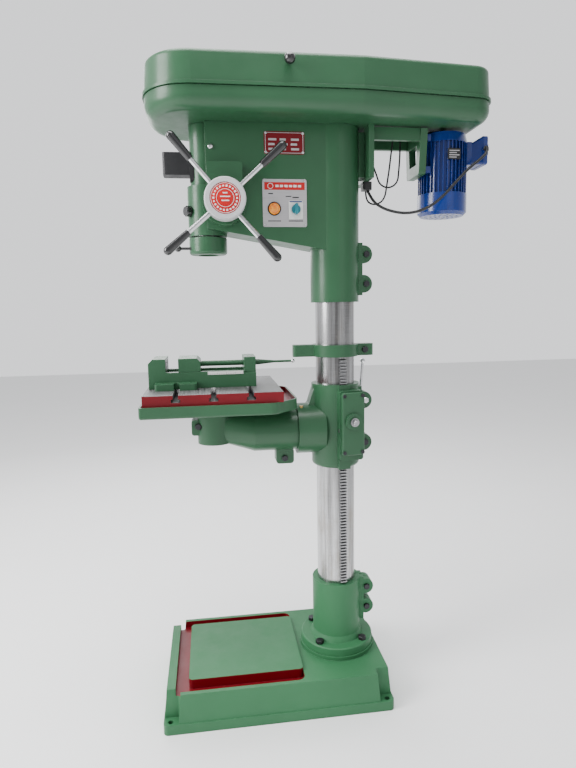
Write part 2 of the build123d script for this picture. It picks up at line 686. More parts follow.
# ---- table: drip pan with the stem, and the planed slab with three T-slots ----
slab_bottom = TABLE_TOP - TABLE_SLAB
pan_bottom = slab_bottom - PAN_HEIGHT
pan_half = TABLE_WIDTH / 2 + PAN_LIP
pan_front = SPINDLE_Y - TABLE_DEPTH / 2 - PAN_LIP + 2
pan_side_end = SPINDLE_Y + TABLE_DEPTH / 2 - 21
PAN_TAIL = -134.0
PAN_TAIL_HALF = 120.0
with BuildPart() as table_pan:
    with BuildSketch(Plane.XY.offset(pan_bottom)) as pan_shape:
        with BuildLine():
            Polyline(
                (pan_half, pan_front),
                (pan_half, pan_side_end),
                (PAN_TAIL_HALF, PAN_TAIL),
                (-PAN_TAIL_HALF, PAN_TAIL),
                (-pan_half, pan_side_end),
                (-pan_half, pan_front),
                close=True,
            )
        make_face()
        fillet(pan_shape.vertices().group_by(Axis.Y)[0], 6)
        fillet(pan_shape.vertices().sort_by(Axis.Y)[-4:], 34)
    extrude(amount=PAN_HEIGHT)
    fillet(table_pan.faces().sort_by(Axis.Z)[0].edges(), 6)
    with BuildSketch(Plane.XY.offset(slab_bottom)):
        add(pan_shape.sketch.moved(Location((0, 0, PAN_HEIGHT))))
        offset(amount=-5)
        with Locations((0, SPINDLE_Y)):
            Rectangle(TABLE_WIDTH, TABLE_DEPTH, mode=Mode.SUBTRACT)
    extrude(amount=-16, mode=Mode.SUBTRACT)
    with BuildSketch(Plane.XY.offset(pan_bottom)):
        with Locations((0, SPINDLE_Y)):
            Circle(62)
    extrude(amount=-(pan_bottom - ARM_SOCKET_TOP - GAP))
    with BuildSketch(Plane.XY.offset(pan_bottom)):
        with Locations((0, SPINDLE_Y)):
            Circle(STEM_R)
    extrude(amount=-(pan_bottom - SOCKET_BOTTOM - 6))
export(table_pan, "table_pan")

with BuildPart() as table_top:
    with BuildSketch(Plane.XY.offset(slab_bottom)):
        with Locations((0, SPINDLE_Y)):
            Rectangle(TABLE_WIDTH, TABLE_DEPTH)
    extrude(amount=TABLE_SLAB)
    chamfer(table_top.faces().sort_by(Axis.Z)[-1].edges(), 1.5)
    with BuildSketch(Plane.YZ.offset(-TABLE_WIDTH / 2)):
        with GridLocations(SLOT_PITCH, 1, 3, 1):
            with Locations((SPINDLE_Y, TABLE_TOP - 6)):
                Rectangle(SLOT_THROAT, 14)
            with Locations((SPINDLE_Y, TABLE_TOP - 12 - SLOT_T_HEIGHT / 2)):
                Rectangle(SLOT_T, SLOT_T_HEIGHT)
    extrude(amount=TABLE_WIDTH, mode=Mode.SUBTRACT)
export(table_top, "table_top")

# ---- screw vice on the table ----
FIXED_JAW = 48.0
MOVING_JAW_Y = -462.0
MOVING_JAW = 62.0
BED_SIDE = 24.0
bed_top = TABLE_TOP + VICE_BED
BACK_WALL = 33.0
SLIDEWAY = 6.0
slide_top = bed_top + SLIDEWAY
VICE_EAR = (-468.5, 115.0)
VICE_EAR_REACH = 100.0
VICE_EAR_HEIGHT = 18.0
jaw_top = TABLE_TOP + VICE_TOP
moving_back = MOVING_JAW_Y + MOVING_JAW
wall_front = VICE_BACK - BACK_WALL
with BuildPart() as vice_body:
    with BuildSketch(Plane.XY.offset(TABLE_TOP)):
        with Locations((0, (VICE_FRONT + VICE_BACK) / 2)):
            Rectangle(2 * VICE_HALF, VICE_BACK - VICE_FRONT)
    extrude(amount=VICE_BED)
    with BuildSketch(Plane.XY.offset(TABLE_TOP)):
        with Locations((0, VICE_FRONT + FIXED_JAW / 2)):
            Rectangle(2 * VICE_HALF, FIXED_JAW)
        with Locations((0, VICE_BACK - BACK_WALL / 2)):
            Rectangle(2 * VICE_HALF - 16, BACK_WALL)
    extrude(amount=VICE_TOP)
    chamfer(vice_body.edges().filter_by(Axis.X).sort_by(Axis.Y)[0:2].sort_by(Axis.Z)[-1], 12)
    with BuildSketch(Plane.XY.offset(TABLE_TOP)):
        with Locations((0, VICE_EAR[0])):
            RectangleRounded(2 * VICE_EAR_REACH, VICE_EAR[1], 8)
            with Locations((VICE_EAR_REACH, 2.5), (-VICE_EAR_REACH, 2.5)):
                SlotOverall(60, SLOT_THROAT + 2, mode=Mode.SUBTRACT)
    extrude(amount=VICE_EAR_HEIGHT)
    with BuildSketch(Plane.XY.offset(TABLE_TOP + 16)):
        with Locations((0, (VICE_FRONT + FIXED_JAW + wall_front) / 2)):
            Rectangle(2 * (VICE_HALF - BED_SIDE), wall_front - VICE_FRONT - FIXED_JAW)
    extrude(amount=VICE_BED, mode=Mode.SUBTRACT)
    with BuildSketch(Plane.XZ.offset(-VICE_BACK)):
        with Locations((0, VICE_SCREW_Z)):
            Circle(VICE_SCREW_R + RUN)
    extrude(amount=BACK_WALL, mode=Mode.SUBTRACT)
    with BuildSketch(Plane.XY.offset(bed_top)):
        with Locations((0, (VICE_FRONT + FIXED_JAW + wall_front) / 2)):
            with GridLocations(2 * VICE_HALF - BED_SIDE + 3, 0, 2, 1):
                Rectangle(BED_SIDE - 3, wall_front - VICE_FRONT - FIXED_JAW)
    extrude(amount=SLIDEWAY)
export(vice_body, "vice_body")

with BuildPart() as vice_jaw:
    with BuildSketch(Plane.XY.offset(slide_top + GAP)):
        with Locations((0, MOVING_JAW_Y + MOVING_JAW / 2)):
            Rectangle(2 * VICE_HALF - 6, MOVING_JAW)
    extrude(amount=jaw_top - slide_top - GAP)
    chamfer(vice_jaw.faces().sort_by(Axis.Z)[-1].edges().sort_by(Axis.Y)[-1], 10)
    with BuildSketch(Plane.XY.offset(TABLE_TOP + 16 + GAP)):
        with Locations((0, MOVING_JAW_Y + MOVING_JAW / 2)):
            Rectangle(2 * (VICE_HALF - BED_SIDE - GAP), MOVING_JAW)
    extrude(amount=slide_top - TABLE_TOP - 16)
    with BuildSketch(Plane.XZ.offset(-moving_back)):
        with Locations((0, VICE_SCREW_Z)):
            Circle(VICE_SCREW_R + RUN)
    extrude(amount=30, mode=Mode.SUBTRACT)
export(vice_jaw, "vice_jaw")

VICE_SHANK = 58.0
VICE_TAIL = 65.0
with BuildPart() as vice_screw:
    with BuildSketch(Plane.XZ.offset(-moving_back + 29)):
        with Locations((0, VICE_SCREW_Z)):
            Circle(VICE_SCREW_R)
    extrude(amount=-(VICE_BACK - moving_back + 29 + 12))
    with BuildSketch(Plane.XZ.offset(-VICE_BACK - 12)):
        with Locations((0, VICE_SCREW_Z)):
            Circle(VICE_SCREW_R)
    with BuildSketch(Plane.XZ.offset(-VICE_BACK - VICE_SHANK)):
        with Locations((0, VICE_SCREW_Z)):
            Circle(3.5)
    loft()
    with BuildSketch(Plane.XZ.offset(-VICE_BACK - VICE_SHANK)):
        with Locations((0, VICE_SCREW_Z)):
            Circle(3.5)
    extrude(amount=-VICE_TAIL + 5)
    with Locations((0, VICE_BACK + VICE_SHANK + VICE_TAIL - 8, VICE_SCREW_Z)):
        Sphere(6)
export(vice_screw, "vice_screw")

# ---- head casting: column sleeve, gear case, quill housing, feed boss and motor slide bracket ----
CASE_BACK = -46.0
UPPER_HOUSING_Z = 1513.0
UPPER_HOUSING_R = 44.0
BRACKET_Y = (83.0, 98.0)
BRACKET_LOW = 1532.0
BAR_X = 52.0
BAR_Z = 1654.0
BAR = (14.0, 34.0)
SLEEVE_BORE_R = 40.0  # outer race of the drive-sleeve bearings
QUILL_TOP = 1604.0
QUILL_BOTTOM = 1350.0
SLEEVE_BOTTOM = 1612.0
LOCK_ANGLE = -60.0
LOCK_Z = 1445.0
with BuildPart() as head_casting:
    with BuildSketch(Plane.XY.offset(HEAD_BOTTOM)):
        Circle(SLEEVE_R)
    extrude(amount=HEAD_TOP - HEAD_BOTTOM)
    with BuildSketch(Plane.YZ):
        with BuildLine():
            Polyline(
                (0, 1330),
                (-301, 1384),
                (SPINDLE_Y, 1396),
                (SPINDLE_Y, HEAD_TOP),
                (0, HEAD_TOP),
                close=True,
            )
        make_face()
    extrude(amount=HEAD_HALF, both=True)
    with BuildSketch(Plane.XY.offset(HOUSING_BOTTOM)):
        with Locations((0, SPINDLE_Y)):
            Circle(HOUSING_R)
    extrude(amount=UPPER_HOUSING_Z - HOUSING_BOTTOM)
    with BuildSketch(Plane.XY.offset(UPPER_HOUSING_Z)):
        with Locations((0, SPINDLE_Y)):
            Circle(UPPER_HOUSING_R)
    extrude(amount=HEAD_TOP - UPPER_HOUSING_Z)
    with BuildSketch(Plane.YZ.offset(HEAD_HALF)):
        with Locations((FEED_Y, FEED_Z)):
            Circle(HOUSING_R + 6)
        with Locations((FEED_Y + 2, (FEED_Z + 1564) / 2)):
            RectangleRounded(95, 1564 - FEED_Z, 8)
    extrude(amount=PAD_FACE - HEAD_HALF)
    with BuildSketch(Plane.YZ):
        with Locations(*[(EAR_Y, z) for z in HEAD_EAR_Z]):
            Circle(EAR_R)
        with Locations((SLEEVE_R - 7, sum(HEAD_EAR_Z) / 2)):
            Rectangle(30, HEAD_EAR_Z[1] - HEAD_EAR_Z[0] + 66)
    extrude(amount=EAR_HALF, both=True)
    with BuildSketch(Plane.XZ.offset(-BRACKET_Y[1])):
        with Locations((0, (HEAD_TOP + BRACKET_LOW) / 2)):
            Rectangle(150, HEAD_TOP - BRACKET_LOW)
    extrude(amount=BRACKET_Y[1] - BRACKET_Y[0])
    with BuildSketch(Plane.XZ.offset(-BRACKET_Y[0])):
        with Locations((0, (HEAD_TOP + BRACKET_LOW) / 2)):
            Rectangle(50, HEAD_TOP - BRACKET_LOW - 20)
    extrude(amount=40)
    with BuildSketch(Plane.XY.offset(HEAD_BOTTOM)):
        Circle(COLUMN_R + RUN)
    extrude(amount=COLUMN_TOP + 2 - HEAD_BOTTOM, mode=Mode.SUBTRACT)
    with BuildSketch(Plane.XY.offset(HEAD_BOTTOM)):
        with Locations((0, SLEEVE_R + 29)):
            Rectangle(SLIT, 100)
    extrude(amount=HEAD_EAR_Z[1] + 50 - HEAD_BOTTOM, mode=Mode.SUBTRACT)
    with BuildSketch(Plane.YZ):
        with Locations(*[(HEAD_EAR_Y, z) for z in HEAD_EAR_Z]):
            Circle(M12_R + GAP)
    extrude(amount=EAR_HALF + 1, both=True, mode=Mode.SUBTRACT)
    with BuildSketch(Plane.XY.offset(HOUSING_BOTTOM - 1)):
        with Locations((0, SPINDLE_Y)):
            Circle(QUILL_R + RUN)
    extrude(amount=QUILL_TOP + 5 - HOUSING_BOTTOM, mode=Mode.SUBTRACT)
    with BuildSketch(Plane.XY.offset(QUILL_TOP)):
        with Locations((0, SPINDLE_Y)):
            Circle(24)
    extrude(amount=20, mode=Mode.SUBTRACT)
    with BuildSketch(Plane.XY.offset(SLEEVE_BOTTOM)):
        with Locations((0, SPINDLE_Y)):
            Circle(SLEEVE_BORE_R + RUN)
    extrude(amount=HEAD_TOP, mode=Mode.SUBTRACT)
    with BuildSketch(Plane.YZ.offset(-12)):
        with Locations((FEED_Y, FEED_Z)):
            Circle(FEED_BORE_R + RUN)
    extrude(amount=PAD_FACE + 20, mode=Mode.SUBTRACT)
    with BuildSketch(Plane.YZ.offset(-HEAD_HALF)):
        with Locations((FEED_Y, FEED_Z)):
            Circle(FEED_SHAFT_R + RUN)
    extrude(amount=60, mode=Mode.SUBTRACT)
    with BuildSketch(Plane.XY.offset(1420)):
        with Locations((0, -170)):
            Rectangle(2 * HEAD_HALF - 22, 170)
    extrude(amount=HEAD_TOP, mode=Mode.SUBTRACT)
    with BuildSketch(Plane.XZ.offset(-BRACKET_Y[1])):
        with Locations((BAR_X, BAR_Z), (-BAR_X, BAR_Z)):
            Rectangle(BAR[0] + 2 * RUN, BAR[1] + 2 * RUN)
    extrude(amount=20, mode=Mode.SUBTRACT)
    lock_way = Vector(cos(radians(LOCK_ANGLE)), sin(radians(LOCK_ANGLE)), 0)
    with BuildSketch(Plane(origin=Vector(0, SPINDLE_Y, LOCK_Z) + lock_way * 30, z_dir=lock_way)):
        Circle(M12_R + RUN)
    extrude(amount=60, mode=Mode.SUBTRACT)
    with BuildSketch(Plane.YZ.offset(HEAD_HALF - 12)):
        with Locations((-182, 1448)):
            Circle(11)
        with Locations((-122, 1446)):
            Circle(7)
    extrude(amount=30, mode=Mode.SUBTRACT)
export(head_casting, "head_casting")

# ---- quill with its rack, bearings, collar and collar screw ----
quill_pitch = pi * QUILL_MODULE
RACK_RUN_IN = 2  # teeth below the pinion when the quill is up
QUILL_TEETH = ceil(QUILL_TRAVEL / quill_pitch) + RACK_RUN_IN + 2
quill_rack_start = FEED_Z - RACK_RUN_IN * quill_pitch
SPINDLE_RACE_R = 31.0
SPINDLE_R = 15.0
RACE = 16.0
with BuildPart() as quill:
    with BuildSketch(Plane.XY.offset(QUILL_BOTTOM)):
        with Locations((0, SPINDLE_Y)):
            Circle(QUILL_R)
            Circle(24, mode=Mode.SUBTRACT)
    extrude(amount=QUILL_TOP - QUILL_BOTTOM)
    for z in (QUILL_BOTTOM, QUILL_TOP - RACE):
        with BuildSketch(Plane.XY.offset(z)):
            with Locations((0, SPINDLE_Y)):
                Circle(SPINDLE_RACE_R + RUN)
        extrude(amount=RACE, mode=Mode.SUBTRACT)
    with BuildSketch(Plane.YZ):
        with BuildLine():
            Polyline(
                *[
                    (SPINDLE_Y + depth, along)
                    for depth, along in rack_outline(
                        RACK_PITCH_OFFSET, 2.0, 3.0, QUILL_R + 2, quill_rack_start,
                        QUILL_TEETH, quill_pitch, 25, 0.5)
                ],
                close=True,
            )
        make_face()
    extrude(amount=10.5, both=True, mode=Mode.SUBTRACT)
export(quill, "quill")

race_middle = (SPINDLE_RACE_R + SPINDLE_R) / 2
with BuildPart() as bearing_rings:
    with BuildSketch(Plane.XY):
        Circle(SPINDLE_RACE_R)
        Circle(race_middle + 3, mode=Mode.SUBTRACT)
        Circle(race_middle - 3)
        Circle(SPINDLE_R + RUN, mode=Mode.SUBTRACT)
    extrude(amount=RACE)
    with BuildSketch(Plane.XY.offset(RACE * 0.3)):
        Circle(race_middle + 3)
        Circle(race_middle - 3, mode=Mode.SUBTRACT)
    extrude(amount=RACE * 0.4)
with BuildPart() as quill_bearings:
    with Locations((0, SPINDLE_Y, QUILL_BOTTOM), (0, SPINDLE_Y, QUILL_TOP - RACE)):
        add(bearing_rings.part)
export(quill_bearings, "quill_bearings")

COLLAR_BOTTOM = 1328.0
COLLAR_TOP = HOUSING_BOTTOM - 3
COLLAR_R = 53.5
COLLAR_KNOB_X = 22.0
with BuildPart() as quill_collar:
    with BuildSketch(Plane.XY.offset(COLLAR_BOTTOM)):
        with Locations((0, SPINDLE_Y)):
            Circle(COLLAR_R)
    extrude(amount=COLLAR_TOP - COLLAR_BOTTOM)
    fillet(quill_collar.faces().sort_by(Axis.Z)[0].edges(), 9)
    fillet(quill_collar.faces().sort_by(Axis.Z)[-1].edges(), 3)
    with BuildSketch(Plane.XY.offset(QUILL_BOTTOM)):
        with Locations((0, SPINDLE_Y)):
            Circle(QUILL_R + RUN)
    extrude(amount=50, mode=Mode.SUBTRACT)
    with BuildSketch(Plane.XY.offset(COLLAR_BOTTOM)):
        with Locations((0, SPINDLE_Y)):
            Circle(29)
        with Locations((0, SPINDLE_Y - 60)):
            Rectangle(9, 60)
    extrude(amount=50, mode=Mode.SUBTRACT)
    with BuildSketch(Plane.XZ.offset(-SPINDLE_Y + 30)):
        with Locations((COLLAR_KNOB_X, 1345)):
            Circle(M8_R + RUN)
    extrude(amount=40, mode=Mode.SUBTRACT)
export(quill_collar, "quill_collar")

with BuildPart() as collar_knob:
    with BuildSketch(Plane.XZ.offset(-SPINDLE_Y + 38)):
        with Locations((COLLAR_KNOB_X, 1345)):
            Circle(M8_R)
    extrude(amount=42)
    with Locations((COLLAR_KNOB_X, SPINDLE_Y - 84, 1345)):
        Sphere(9.5)
export(collar_knob, "collar_knob")

# ---- spindle with taper socket and drive spline, its drive sleeve and the sleeve's bearings ----
SPLINE_R = 11.0
SPLINE_TOP = 1786.0
SLEEVE_TUBE_R = 20.0
TAPER_MOUTH_R = 11.9
TAPER_DEPTH = 81.0
TAPER_SLOPE = 19.922  # diameter loses one part in this many
nose_bottom = QUILL_BOTTOM - 14
taper_end_r = TAPER_MOUTH_R - TAPER_DEPTH / TAPER_SLOPE / 2


def spline(radius, depth, mode=Mode.ADD):
    """Six splines about the spindle axis."""
    Circle(radius - depth, mode=mode)
    with PolarLocations(0, 6):
        with Locations((radius - depth, 0)):
            Rectangle(2 * depth, 5, mode=mode)


with BuildPart() as spindle:
    with BuildSketch(Plane.XY.offset(nose_bottom)):
        with Locations((0, SPINDLE_Y)):
            Circle(24)
    extrude(amount=QUILL_BOTTOM - GAP - nose_bottom)
    with BuildSketch(Plane.XY.offset(nose_bottom)):
        with Locations((0, SPINDLE_Y)):
            Circle(SPINDLE_R)
    extrude(amount=QUILL_TOP - nose_bottom)
    with BuildSketch(Plane(origin=(0, SPINDLE_Y, QUILL_TOP))):
        spline(SPLINE_R, 2)
    extrude(amount=SPLINE_TOP - QUILL_TOP)
    with BuildSketch(Plane.XY.offset(nose_bottom)):
        with Locations((0, SPINDLE_Y)):
            Circle(TAPER_MOUTH_R)
    with BuildSketch(Plane.XY.offset(nose_bottom + TAPER_DEPTH)):
        with Locations((0, SPINDLE_Y)):
            Circle(taper_end_r)
    loft(mode=Mode.SUBTRACT)
    with BuildSketch(Plane.YZ):
        with Locations((SPINDLE_Y, nose_bottom + TAPER_DEPTH + 4)):
            SlotOverall(30, 8, rotation=90)
    extrude(amount=SPINDLE_R + 1, both=True, mode=Mode.SUBTRACT)
export(spindle, "spindle")

with BuildPart() as drive_sleeve:
    with BuildSketch(Plane(origin=(0, SPINDLE_Y, SLEEVE_BOTTOM))):
        Circle(SLEEVE_TUBE_R)
        spline(SPLINE_R + RUN, 2, Mode.SUBTRACT)
    extrude(amount=STEP_Z + 60 - SLEEVE_BOTTOM)
export(drive_sleeve, "drive_sleeve")

SLEEVE_RACE = 18.0

# ---- stepped pulleys, idler post and belts ----
def pulley(steps, place, bore):
    """A stepped V pulley standing at STEP_Z, one groove a step, from the bottom up."""
    with BuildPart() as made:
        for index, rim in enumerate(steps):
            low = STEP_Z + index * STEP_HEIGHT
            middle = low + STEP_HEIGHT / 2
            half = BELT_WIDTH / 2
            with BuildSketch(Plane.XZ.offset(-place)):
                with BuildLine():
                    Polyline(
                        (bore, low),
                        (rim, low),
                        (rim, middle - half - 0.8),
                        (rim - GROOVE, middle - half + BELT_SLOPE - 0.5),
                        (rim - GROOVE, middle + half - BELT_SLOPE + 0.5),
                        (rim, middle + half + 0.8),
                        (rim, low + STEP_HEIGHT),
                        (bore, low + STEP_HEIGHT),
                        close=True,
                    )
                make_face()
            revolve(axis=Axis((0, place, 0), (0, 0, 1)))
    return made


POST_R = 14.0
IDLER_BORE_R = POST_R + 8
spindle_pulley = pulley(SPINDLE_STEPS, SPINDLE_Y, SLEEVE_TUBE_R)
export(spindle_pulley, "spindle_pulley")
idler_pulley = pulley(IDLER_STEPS, IDLER_Y, IDLER_BORE_R)
export(idler_pulley, "idler_pulley")
motor_pulley = pulley(MOTOR_STEPS, MOTOR_Y, MOTOR_SHAFT_R)
export(motor_pulley, "motor_pulley")

tray_floor = TRAY_BOTTOM + SHEET
with BuildPart() as idler_post:
    with BuildSketch(Plane(origin=(0, IDLER_Y, tray_floor))):
        Circle(30)
    extrude(amount=6)
    with BuildSketch(Plane(origin=(0, IDLER_Y, tray_floor))):
        Circle(POST_R)
    extrude(amount=STEP_Z + 4 * STEP_HEIGHT + 6 - tray_floor)
    with BuildSketch(Plane(origin=(0, IDLER_Y, tray_floor + 6))):
        Circle(POST_R + 4)
    extrude(amount=STEP_Z + 6 - tray_floor - 6)
export(idler_post, "idler_post")

with BuildPart() as drive_bearings:
    for z in (SLEEVE_BOTTOM, HEAD_TOP - SLEEVE_RACE):
        with BuildSketch(Plane(origin=(0, SPINDLE_Y, z))):
            Circle(SLEEVE_BORE_R)
            Circle(SLEEVE_TUBE_R + RUN, mode=Mode.SUBTRACT)
        extrude(amount=SLEEVE_RACE)
    for z in (STEP_Z + 7, STEP_Z + 4 * STEP_HEIGHT - 15):
        with BuildSketch(Plane(origin=(0, IDLER_Y, z))):
            Circle(IDLER_BORE_R)
            Circle(POST_R + RUN, mode=Mode.SUBTRACT)
        extrude(amount=12)
export(drive_bearings, "drive_bearings")


def belt(step, rim_a, place_a, rim_b, place_b):
    """A V belt round two rims, riding a little proud of the groove floors."""
    middle = STEP_Z + (step + 0.5) * STEP_HEIGHT
    with BuildPart() as made:
        with BuildSketch(Plane.XY.offset(middle - BELT_WIDTH / 2)):
            with Locations((0, place_a)):
                Circle(rim_a - GROOVE + GAP + BELT_HEIGHT)
            with Locations((0, place_b)):
                Circle(rim_b - GROOVE + GAP + BELT_HEIGHT)
            make_hull()
        extrude(amount=BELT_WIDTH)
        with BuildSketch(Plane.XY.offset(middle - BELT_WIDTH / 2)):
            with Locations((0, place_a)):
                Circle(rim_a - GROOVE + GAP)
            with Locations((0, place_b)):
                Circle(rim_b - GROOVE + GAP)
            make_hull()
        extrude(amount=BELT_WIDTH, mode=Mode.SUBTRACT)
        for side in (-1, 1):
            with BuildSketch(Plane.XY.offset(middle + side * BELT_WIDTH / 2)):
                with Locations((0, place_a)):
                    Circle(rim_a - GROOVE + GAP + BELT_HEIGHT - 0.01)
                with Locations((0, place_b)):
                    Circle(rim_b - GROOVE + GAP + BELT_HEIGHT - 0.01)
                make_hull()
            lean = degrees(atan2(BELT_HEIGHT, BELT_SLOPE))
            extrude(amount=-side * BELT_SLOPE, taper=lean, mode=Mode.SUBTRACT)
    return made


front_belt = belt(FRONT_STEP, SPINDLE_STEPS[FRONT_STEP], SPINDLE_Y,
                  IDLER_STEPS[FRONT_STEP], IDLER_Y)
export(front_belt, "front_belt")
rear_belt = belt(REAR_STEP, IDLER_STEPS[REAR_STEP], IDLER_Y, MOTOR_STEPS[REAR_STEP], MOTOR_Y)
export(rear_belt, "rear_belt")


# ---- belt guard: tray, lid, hinge pins and lid knob ----
def guard_outline(inset):
    """Plan of the guard: rounded nose, straight sides, and a tail that tapers to the motor."""
    with BuildSketch(mode=Mode.PRIVATE) as plan:
        with BuildLine():
            Polyline(
                (GUARD_HALF, GUARD_FRONT),
                (GUARD_HALF, 45),
                (132, GUARD_BACK),
                (-132, GUARD_BACK),
                (-GUARD_HALF, 45),
                (-GUARD_HALF, GUARD_FRONT),
                close=True,
            )
        make_face()
        fillet(plan.vertices().group_by(Axis.Y)[0], 128)
        fillet(plan.vertices().group_by(Axis.Y)[-1], 66)
        if inset:
            offset(amount=-inset)
    return plan.sketch


KNUCKLE_R = 7.0
HINGE_Y = (-300.0, -40.0)
KNUCKLE = 22.0
TRAY_ROUND = 34.0
with BuildPart() as belt_tray:
    with BuildSketch(Plane.XY.offset(TRAY_BOTTOM)):
        add(guard_outline(0))
    extrude(amount=SEAM_Z - TRAY_BOTTOM)
    fillet(belt_tray.faces().sort_by(Axis.Z)[0].edges(), TRAY_ROUND)
    offset(amount=-SHEET, openings=belt_tray.faces().sort_by(Axis.Z)[-1])
    with BuildSketch(Plane.XY.offset(TRAY_BOTTOM)):
        with Locations((0, SPINDLE_Y)):
            Circle(SLEEVE_TUBE_R + 4)
        with Locations((0, MOTOR_Y - BELT_SLACK / 2)):
            SlotCenterToCenter(BELT_SLACK, 44, rotation=90)
    extrude(amount=SHEET, mode=Mode.SUBTRACT)
    for y in HINGE_Y:
        with BuildSketch(Plane.XZ.offset(-y + KNUCKLE / 2)):
            with Locations((HINGE_X, HINGE_Z)):
                Circle(KNUCKLE_R)
            with Locations(((HINGE_X - GUARD_HALF) / 2, HINGE_Z - 8)):
                Rectangle(abs(HINGE_X) - GUARD_HALF + 8, 10)
        extrude(amount=-KNUCKLE)
        with BuildSketch(Plane.XZ.offset(-y + KNUCKLE / 2)):
            with Locations((HINGE_X, HINGE_Z)):
                Circle(3 + RUN)
        extrude(amount=-KNUCKLE, mode=Mode.SUBTRACT)
export(belt_tray, "belt_tray")

with BuildPart() as hinge_pins:
    for y in HINGE_Y:
        with BuildSketch(Plane.XZ.offset(-y + KNUCKLE * 1.5)):
            with Locations((HINGE_X, HINGE_Z)):
                Circle(3)
        extrude(amount=-3 * KNUCKLE)
export(hinge_pins, "hinge_pins")

LID_BEAD = 4.0
BEAD_HEIGHT = 8.0
lid_bottom = SEAM_Z + 1.5
LID_DRAFT = 3.5
with BuildPart() as belt_lid:
    with BuildSketch(Plane.XY.offset(lid_bottom)):
        add(guard_outline(0))
    extrude(amount=GUARD_TOP - lid_bottom, taper=LID_DRAFT)
    fillet(belt_lid.faces().sort_by(Axis.Z)[-1].edges(), 12)
    offset(amount=-SHEET, openings=belt_lid.faces().sort_by(Axis.Z)[0])
    with BuildSketch(Plane.XY.offset(lid_bottom)):
        add(guard_outline(-LID_BEAD))
        add(guard_outline(SHEET), mode=Mode.SUBTRACT)
    extrude(amount=BEAD_HEIGHT)
    for y in HINGE_Y:
        for side in (-1, 1):
            near = y + side * (KNUCKLE + GAP)
            with BuildSketch(Plane.XZ.offset(-near + KNUCKLE / 2)):
                with Locations((HINGE_X, HINGE_Z)):
                    Circle(KNUCKLE_R)
                with Locations(((HINGE_X - GUARD_HALF) / 2 + 1, HINGE_Z + 4)):
                    Rectangle(abs(HINGE_X) - GUARD_HALF + 2, 6)
            extrude(amount=-KNUCKLE)
        with BuildSketch(Plane.XZ.offset(-y + KNUCKLE / 2 + 2 * GAP)):
            with Locations((HINGE_X, HINGE_Z)):
                Circle(KNUCKLE_R + GAP)
        extrude(amount=-KNUCKLE - 4 * GAP, mode=Mode.SUBTRACT)
        with BuildSketch(Plane.XZ.offset(-y + KNUCKLE * 2)):
            with Locations((HINGE_X, HINGE_Z)):
                Circle(3 + RUN)
        extrude(amount=-4 * KNUCKLE, mode=Mode.SUBTRACT)
export(belt_lid, "belt_lid")

LID_KNOB = (-151.0, 1788.0)
lid_wall_x = GUARD_HALF - (LID_KNOB[1] - lid_bottom) * tan(radians(LID_DRAFT))
with BuildPart() as lid_knob:
    with BuildSketch(Plane.YZ.offset(lid_wall_x + 0.6)):
        with Locations(LID_KNOB):
            Circle(6)
    extrude(amount=12)
    with Locations((lid_wall_x + 22, *LID_KNOB)):
        Sphere(14)
export(lid_knob, "lid_knob")

# ---- motor on its sliding plate ----
PLATE_Y = (236.0, 256.5)
PLATE_Z = (1548.0, 1670.0)
with BuildPart() as motor_plate:
    with BuildSketch(Plane.XZ.offset(-PLATE_Y[0])):
        with BuildLine():
            Polyline((-50, PLATE_Z[0]), (50, PLATE_Z[0]), (64, PLATE_Z[1]), (-64, PLATE_Z[1]),
                     close=True)
        make_face()
        with BuildLine():
            Polyline((-27, 1578), (27, 1578), (33, 1630), (-33, 1630), close=True)
        make_face(mode=Mode.SUBTRACT)
    extrude(amount=-(PLATE_Y[1] - PLATE_Y[0]))
    fillet(motor_plate.edges().filter_by(Axis.Y).group_by(Axis.Z)[0], 8)
    with BuildSketch(Plane.XZ.offset(-PLATE_Y[0])):
        with Locations((BAR_X, BAR_Z), (-BAR_X, BAR_Z)):
            Rectangle(*BAR)
    extrude(amount=PLATE_Y[0] - BRACKET_Y[0])
export(motor_plate, "motor_plate")

FINS = 36
STATOR_INNER_R = 36.0
FIN_ROOT_R = 62.0
with BuildPart() as motor_frame:
    with BuildSketch(Plane(origin=(0, MOTOR_Y, MOTOR_SEAM))):
        Circle(FIN_ROOT_R)
        Circle(50, mode=Mode.SUBTRACT)
        with PolarLocations((FIN_ROOT_R + MOTOR_R) / 2 - 1, FINS):
            Rectangle(MOTOR_R - FIN_ROOT_R + 1, 2.6)
    extrude(amount=MOTOR_TOP - 26 - MOTOR_SEAM)
    with BuildSketch(Plane(origin=(0, MOTOR_Y, MOTOR_TOP - 26))):
        Circle(MOTOR_R)
    extrude(amount=26, taper=12)
    with BuildSketch(Plane(origin=(0, MOTOR_Y, MOTOR_SEAM))):
        Circle(50)
    extrude(amount=MOTOR_TOP - 12 - MOTOR_SEAM, mode=Mode.SUBTRACT)
    with BuildSketch(Plane(origin=(0, MOTOR_Y, MOTOR_SEAM))):
        Circle(MOTOR_SHAFT_R + 4)
    extrude(amount=MOTOR_TOP, mode=Mode.SUBTRACT)
    with BuildSketch(Plane.XZ.offset(-PLATE_Y[1])):
        with Locations(*[(x, z) for x in (-34, 34) for z in (1562, 1650)]):
            Rectangle(24, 18)
    extrude(amount=-(MOTOR_Y - 54 - PLATE_Y[1]))
    with BuildSketch(Plane.XZ.offset(-MOTOR_Y - FIN_ROOT_R + 6)):
        with Locations((0, 1612)):
            Rectangle(64, 64)
    extrude(amount=-20)
    with BuildSketch(Plane(origin=(0, MOTOR_Y, 1525))):
        Circle(50)
        Circle(STATOR_INNER_R, mode=Mode.SUBTRACT)
    extrude(amount=100)
export(motor_frame, "motor_frame")

